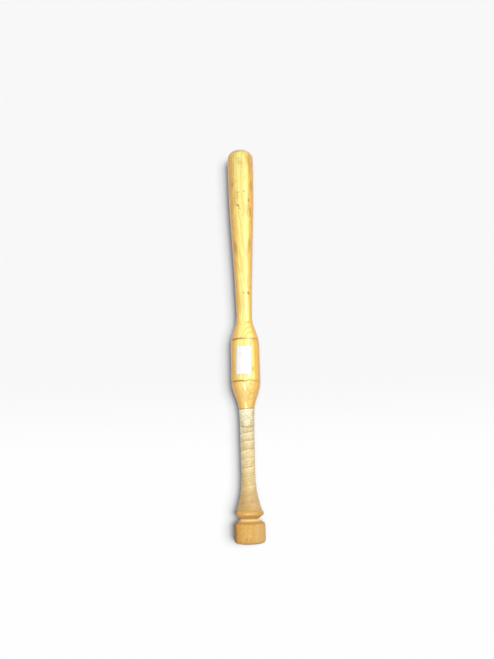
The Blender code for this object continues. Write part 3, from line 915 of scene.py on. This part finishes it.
class BatLabel(bpy.types.PropertyGroup):
    length: distance("Length", "Along the bat", LABEL_HIGH - LABEL_LOW)
    width: distance("Width", "Round the swell", 0.0343)
    thickness: distance("Thickness", "Thickness of the paper", 0.0002)
    slant: bearing("Slant", "How far askew it was pasted", 3.0)
    paper: tint("Paper", "Face of the paper", "F1F1EE")


# Where the sticker is pasted, its faces each way, the paste under it, and how its corners lift
LABEL_ANGLE = math.radians(96.5)
LABEL_DROP = 0.0023
LABEL_COLUMNS = 36
LABEL_STEPS = 60
PASTE = 0.00012
CORNER_LIFT = 0.0007
CORNER_REACH = 0.007


class BAT_OT_stick_label(bpy.types.Operator):
    """Paste the paper label on the swell, slightly askew, with its corners lifting"""

    bl_idname = "bat.stick_label"
    bl_label = "Stick label"

    def execute(self, context):
        label = context.scene.bat_label
        centre = (LABEL_LOW + LABEL_HIGH) / 2 - LABEL_DROP
        slant = Matrix.Rotation(label.slant, 2)
        mesh = bpy.data.meshes.new("paper_sticker")
        shape = bmesh.new()
        places = []
        rows = []
        for column in range(LABEL_COLUMNS + 1):
            row = []
            across = label.width * (column / LABEL_COLUMNS - 0.5)
            for step in range(LABEL_STEPS + 1):
                flat = Vector((across, label.length * (0.5 - step / LABEL_STEPS)))
                from_side = label.width / 2 - abs(flat.x)
                from_end = label.length / 2 - abs(flat.y)
                corner = max(0.0, 1 - math.hypot(from_side, from_end) / CORNER_REACH)
                skewed = slant @ flat
                along = centre + skewed.y
                under = surface_spot(along, 90.0).z
                turn = LABEL_ANGLE + skewed.x / under
                radius = under + PASTE + CORNER_LIFT * corner ** 2
                row.append(shape.verts.new((radius * math.cos(turn), along, radius * math.sin(turn))))
                places += (from_side, from_end, 0.0)
            rows.append(row)
        for row, beside in zip(rows, rows[1:]):
            for step in range(LABEL_STEPS):
                shape.faces.new((row[step], beside[step], beside[step + 1], row[step + 1]))
        shape.to_mesh(mesh)
        shape.free()
        mesh.attributes.new("sheet_place", "FLOAT_VECTOR", "POINT").data.foreach_set("vector", places)
        mesh.shade_smooth()
        mesh.set_sharp_from_angle(angle=CREASE_ANGLE)
        sticker = link_object("paper_sticker", mesh)
        mesh.materials.append(sticker_paper(label))
        thicken(sticker, label.thickness)
        ride_for(sticker, "paper_label")
        return {"FINISHED"}


class BatStage(bpy.types.PropertyGroup):
    skylight: amount("Skylight", "Strength on the floor from overhead", 1.74)
    window: amount("Window", "Strength on the floor from the right", 1.41)
    window_side: bearing("Window side", "How far to the right of overhead", 22.0)
    softbox: power("Softbox", "The long lamp", 5.6)
    swell_lamp: power("Swell lamp", "Its bright middle", 4.15)
    upper_spot: power("Upper spot", "The upper of the two small lamps", 2.5)
    lower_spot: power("Lower spot", "The lower of the two small lamps", 1.6)
    overhead: amount("Overhead", "Strength of the broad light on the bat", 0.825)
    sky: amount("Sky", "Light from all round", 0.05)
    floor: tint("Floor", "Painted floor", "F6F6F6")
    floor_near: tint("Floor near", "Floor at the knob end", "FCFCFC")


def lamp(name, kind, lights, place, aim, lengthwise, **settings):
    """A lamp that lights one collection, turned to look at a point with its long side lengthwise."""
    light = bpy.data.lights.new(name, kind)
    for setting, value in settings.items():
        setattr(light, setting, value)
    thing = link_object(name, light)
    back = (place - aim).normalized()
    side = (lengthwise - lengthwise.project(back)).normalized()
    turn = Matrix((side, back.cross(side), back)).transposed()
    thing.matrix_world = Matrix.Translation(place) @ turn.to_4x4()
    thing.light_linking.receiver_collection = lights


def painted_floor(stage):
    """Matt white emulsion on a smooth board: flat white, no gloss, with painted light making it brighter at
    the knob end than beyond the swell.
    """
    material, node, shader = new_material("matt_painted_floor", 1.45)
    place = node("TexCoord", output="Object")
    along = node("SeparateXYZ", place, output=None).outputs[1]
    # Painted light: the floor is brighter towards the knob end
    near = node("MapRange", along, 0.36, 0.16, **SMOOTH)
    colour = painted(node, stage.floor, [(near, stage.floor_near)])
    fill(shader, {"Base Color": colour, "Roughness": 0.9, "Specular IOR Level": 0.1})
    return material


FLOOR_REACH = 4.0

# Fitted to the photographed outline: the camera's place, its two turns in radians and its lens
CAMERA_PLACE = (0.0053, 0.1511, 1.2472)
CAMERA_TILT = math.radians(13.0)
CAMERA_ROLL = -0.0272
SENSOR_WIDTH = 36.0
FOCAL_LENGTH = 32.23


class BAT_OT_set_stage(bpy.types.Operator):
    """Lay the floor and set the lamps and the camera as the photograph has them"""

    bl_idname = "bat.set_stage"
    bl_label = "Set stage"

    def execute(self, context):
        stage = context.scene.bat_stage
        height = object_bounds()[0].z
        floor_mesh = bpy.data.meshes.new("floor")
        corners = ((-1, -1), (1, -1), (1, 1), (-1, 1))
        corners = [(x * FLOOR_REACH, y * FLOOR_REACH, height) for x, y in corners]
        floor_mesh.from_pydata(corners, [], [(0, 1, 2, 3)])
        floor = link_object("floor", floor_mesh)
        floor_mesh.materials.append(painted_floor(stage))
        floor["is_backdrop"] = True

        # The window shades the floor, and the other lamps model the bat without lighting the floor twice
        on_floor = bpy.data.collections.new("lit_by_window")
        on_floor.objects.link(floor)
        on_bat = bpy.data.collections.new("lit_by_lamps")
        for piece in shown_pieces():
            on_bat.objects.link(piece)
            # The photograph's floor is bleached, so the bat's colour doesn't spill on it
            piece.visible_diffuse = False
        middle = Vector((0.0, 0.43, 0.0))
        lengthwise = Vector((0.0, 1.0, 0.0))
        for name, energy, side, spread in (
            ("skylight", stage.skylight, math.radians(6), math.radians(28)),
            ("window", stage.window, stage.window_side, math.radians(32)),
        ):
            right = Vector((math.sin(side), 0.0, math.cos(side)))
            lamp(name, "SUN", on_floor, middle + right, middle, lengthwise, energy=energy, angle=spread)
        above = middle + Vector((-0.45, 0.1, 1.0))
        broad = {"energy": stage.overhead, "angle": math.radians(130)}
        lamp("overhead", "SUN", on_bat, above, middle, lengthwise, **broad)
        # Each of these stands where the varnish mirrors it to the camera as one of the seen highlights. A row
        # gives its power, its place, where along the bat it looks, and its long side's direction and its size
        for name, power, place, along, lengthwise, length, width in (
            ("softbox", stage.softbox, (0.58, 0.70, 1.0), 0.50, (0.53, 0.95, 0.0), 1.38, 0.26),
            ("swell_lamp", stage.swell_lamp, (0.515, 0.545, 1.0), 0.365, (0.168, 0.20, 0.0), 0.42, 0.12),
            ("upper_spot", stage.upper_spot, (-0.20, 0.055, 1.0), 0.313, (0.0, 1.0, 0.0), 0.16, 0.17),
            ("lower_spot", stage.lower_spot, (-0.19, -0.12, 1.0), 0.281, (0.0, 1.0, 0.0), 0.08, 0.17),
        ):
            panel = {"energy": power, "shape": "RECTANGLE", "size": length, "size_y": width}
            lamp(name, "AREA", on_bat, Vector(place), Vector((0.0, along, 0.0)), Vector(lengthwise), **panel)

        world = bpy.data.worlds.new("studio")
        context.scene.world = world
        world.use_nodes = True
        world.node_tree.nodes.clear()
        node = partial(add, world.node_tree)
        ray = node("LightPath", output=None)
        seen = node("Math.MAXIMUM", ray.outputs["Is Camera Ray"], ray.outputs["Is Glossy Ray"])
        seen = node("Math.MAXIMUM", seen, ray.outputs["Is Transmission Ray"])
        white = linear("FFFFFF")
        sky = node("Background", white, stage.sky)
        backdrop = node("Background", white, 1.0)
        node("OutputWorld", node("MixShader", seen, sky, backdrop), output=None)

        lens = bpy.data.cameras.new("camera")
        lens.sensor_width = SENSOR_WIDTH
        lens.lens = FOCAL_LENGTH
        camera = link_object("camera", lens)
        look = Matrix.Rotation(CAMERA_TILT, 4, "X") @ Matrix.Rotation(CAMERA_ROLL, 4, "Z")
        camera.matrix_world = Matrix.Translation(CAMERA_PLACE) @ look
        context.scene.camera = camera
        context.scene.view_settings.view_transform = "Standard"
        return {"FINISHED"}


class BAT_PT_sidebar(bpy.types.Panel):
    """Lists the bat's sizes, colours and steps"""

    bl_idname = "BAT_PT_sidebar"
    bl_label = "Baseball bat"
    bl_space_type = "VIEW_3D"
    bl_region_type = "UI"
    bl_category = "Bat"

    def draw(self, context):
        for step, group in STEPS.items():
            box = self.layout.box()
            box.operator(step.bl_idname)
            for name in GROUPS[group].__annotations__ if group else ():
                box.prop(getattr(context.scene, group), name)


GROUPS = {"bat_wood": BatWood, "bat_tape": BatTape, "bat_label": BatLabel, "bat_stage": BatStage}
# Each step with the group of sizes and colours shown beside it. The band takes the tape's
STEPS = {
    BAT_OT_turn_billet: "bat_wood", BAT_OT_wind_grip_tape: "bat_tape", BAT_OT_close_grip: None,
    BAT_OT_stick_label: "bat_label", BAT_OT_set_stage: "bat_stage",
}


def register():
    for made in (*GROUPS.values(), *STEPS, BAT_PT_sidebar):
        bpy.utils.register_class(made)
    for name, group in GROUPS.items():
        setattr(bpy.types.Scene, name, PointerProperty(type=group))


def unregister():
    for name in GROUPS:
        delattr(bpy.types.Scene, name)
    for made in (BAT_PT_sidebar, *reversed(STEPS), *reversed(GROUPS.values())):
        bpy.utils.unregister_class(made)


def main():
    register()
    bpy.ops.bat.turn_billet()
    bpy.ops.bat.wind_grip_tape()
    bpy.ops.bat.close_grip()
    bpy.ops.bat.stick_label()
    bpy.ops.bat.set_stage()


if __name__ == "__main__":
    main()
